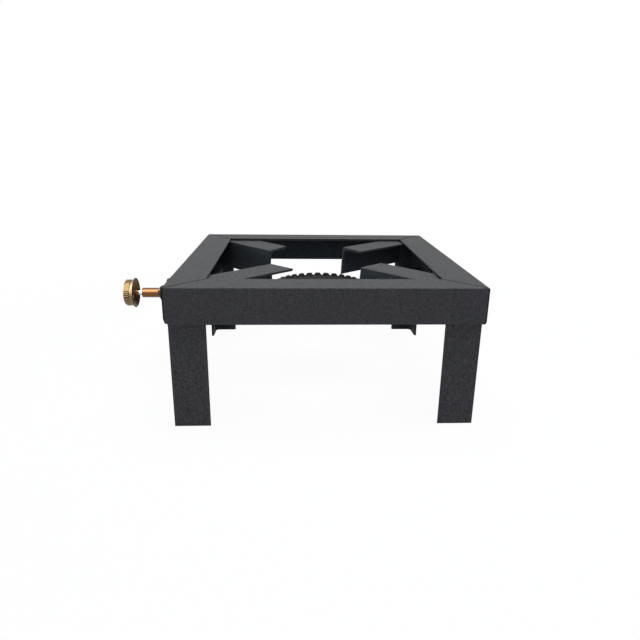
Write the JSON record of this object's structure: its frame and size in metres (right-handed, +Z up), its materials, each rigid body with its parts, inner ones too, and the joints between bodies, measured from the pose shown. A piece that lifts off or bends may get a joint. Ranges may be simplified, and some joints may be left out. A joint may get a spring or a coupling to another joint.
{
  "type": "single burner stove",
  "caption": "Low square gas stove of welded angle iron with pot arms at the corners, a toothed cast burner, a brass needle valve with a hand knob and a turning air shutter.",
  "frame": {"origin": "on the floor under the centre of the burner, midway between the legs", "axes": "+X away from the hand knob, front at -Y, +Z up"},
  "size_m": [0.3784, 0.3, 0.14],
  "materials": {
    "frame_paint": "fine textured charcoal coat, matt",
    "burner_iron": "sand cast, dark",
    "bolt_steel": "machined",
    "valve_brass": "turned, bright",
    "knob_brass": "cast, polished, pale",
    "packing_rubber": "matt"
  },
  "bodies": {
    "stove": {"rail_front": "frame_paint", "rail_rear": "frame_paint", "rail_left": "frame_paint", "rail_right": "frame_paint", "leg_front_left": "frame_paint", "leg_front_right": "frame_paint", "leg_rear_left": "frame_paint", "leg_rear_right": "frame_paint", "arm_front_left": "frame_paint", "arm_front_right": "frame_paint", "arm_rear_left": "frame_paint", "arm_rear_right": "frame_paint", "leg_welds": "frame_paint", "arm_welds": "frame_paint", "strap_front": "frame_paint", "strap_rear": "frame_paint", "strap_welds": "frame_paint", "tray_rest_front_left": "frame_paint", "tray_rest_front_right": "frame_paint", "tray_rest_rear_left": "frame_paint", "tray_rest_rear_right": "frame_paint", "rest_welds": "frame_paint", "burner_body": "burner_iron", "burner_cap": "burner_iron", "valve_block": "burner_iron", "strap_bolts": "bolt_steel", "strap_washers": "bolt_steel", "cap_screw": "bolt_steel", "valve_tube": "valve_brass", "gas_jet": "valve_brass", "gland_bush": "valve_brass", "hose_nipple": "valve_brass", "shutter_washer": "valve_brass", "packing_ring": "packing_rubber"},
    "shutter": {"air_shutter": "valve_brass"},
    "needle": {"valve_needle": "bolt_steel"},
    "knob": {"valve_knob": "knob_brass", "knob_screw": "bolt_steel"}
  },
  "joints": [
    {"name": "shutter_turn", "type": "hinge", "parent": "stove", "child": "shutter", "pos_m": [-0.1767, 0, 0.0953], "axis": [-1, 0, 0], "range_deg": [0, 60]},
    {"name": "needle_lift", "type": "slide", "parent": "stove", "child": "needle", "axis": [-1, 0, 0], "range_m": [0, 0.0015]},
    {"name": "knob_turn", "type": "hinge", "parent": "needle", "child": "knob", "pos_m": [-0.2144, 0, 0.0953], "axis": [-1, 0, 0], "range_deg": [0, 540]}
  ],
  "couplings": [
    {"joint": "needle_lift", "follows": "knob_turn", "m_per_rad": 0.000159}
  ]
}
